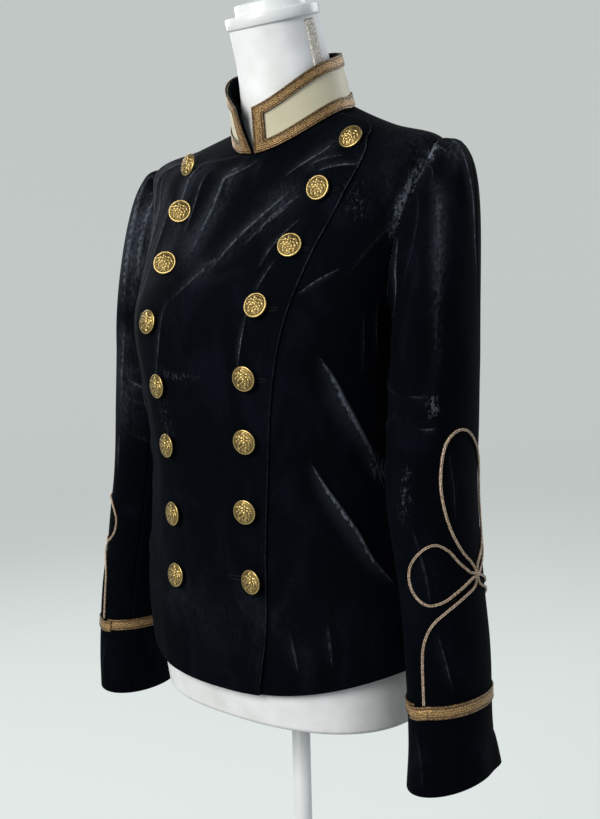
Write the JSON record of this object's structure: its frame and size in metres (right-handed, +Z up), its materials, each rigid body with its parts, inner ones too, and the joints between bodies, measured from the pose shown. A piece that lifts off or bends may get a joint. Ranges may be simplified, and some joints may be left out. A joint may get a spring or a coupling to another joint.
{
  "type": "military-style jacket on a dress form and stand",
  "caption": "Hip-length double-breasted velvet jacket with stand collar, gilt buttons and gold sleeve braid, worn by a limbless dress form on a pole stand.",
  "frame": {"origin": "centre of the stand's round base, on the floor", "axes": "+Z up along the pole; the wearer faces -Y; +X towards the wearer's left; -Z out of the base's underside"},
  "size_m": [0.495, 0.33, 1.4668],
  "materials": {
    "black_velvet": "crushed pile velvet, near-black navy with grey-blue sheen",
    "cream_satin": "smooth cream satin",
    "gold_braid": "flat woven metallic braid, antique gold",
    "gold_soutache": "two-ply metallic soutache cord, antique gold",
    "gilt_buttons": "stamped gilt metal with worn relief",
    "white_form": "smooth off-white shell",
    "white_stand": "white enamel"
  },
  "bodies": {
    "root": {"front_left": "black_velvet", "front_right": "black_velvet", "back": "black_velvet", "sleeve_upper_left": "black_velvet", "sleeve_upper_right": "black_velvet", "sleeve_under_left": "black_velvet", "sleeve_under_right": "black_velvet", "collar_stand": "black_velvet", "collar_panel": "cream_satin", "collar_braid": "gold_braid", "sleeve_band_left": "gold_braid", "sleeve_band_right": "gold_braid", "knot_top_left": "gold_soutache", "knot_top_right": "gold_soutache", "knot_front_left": "gold_soutache", "knot_front_right": "gold_soutache", "knot_back_left": "gold_soutache", "knot_back_right": "gold_soutache", "knot_stem_front_left": "gold_soutache", "knot_stem_front_right": "gold_soutache", "knot_stem_back_left": "gold_soutache", "knot_stem_back_right": "gold_soutache", "button_left_1": "gilt_buttons", "button_left_2": "gilt_buttons", "button_left_3": "gilt_buttons", "button_left_4": "gilt_buttons", "button_left_5": "gilt_buttons", "button_left_6": "gilt_buttons", "button_left_7": "gilt_buttons", "button_left_8": "gilt_buttons", "button_right_1": "gilt_buttons", "button_right_2": "gilt_buttons", "button_right_3": "gilt_buttons", "button_right_4": "gilt_buttons", "button_right_5": "gilt_buttons", "button_right_6": "gilt_buttons", "button_right_7": "gilt_buttons", "button_right_8": "gilt_buttons", "form_torso": "white_form", "neck_cap": "white_form", "stand_pole": "white_stand", "stand_base": "white_stand"}
  },
  "joints": []
}
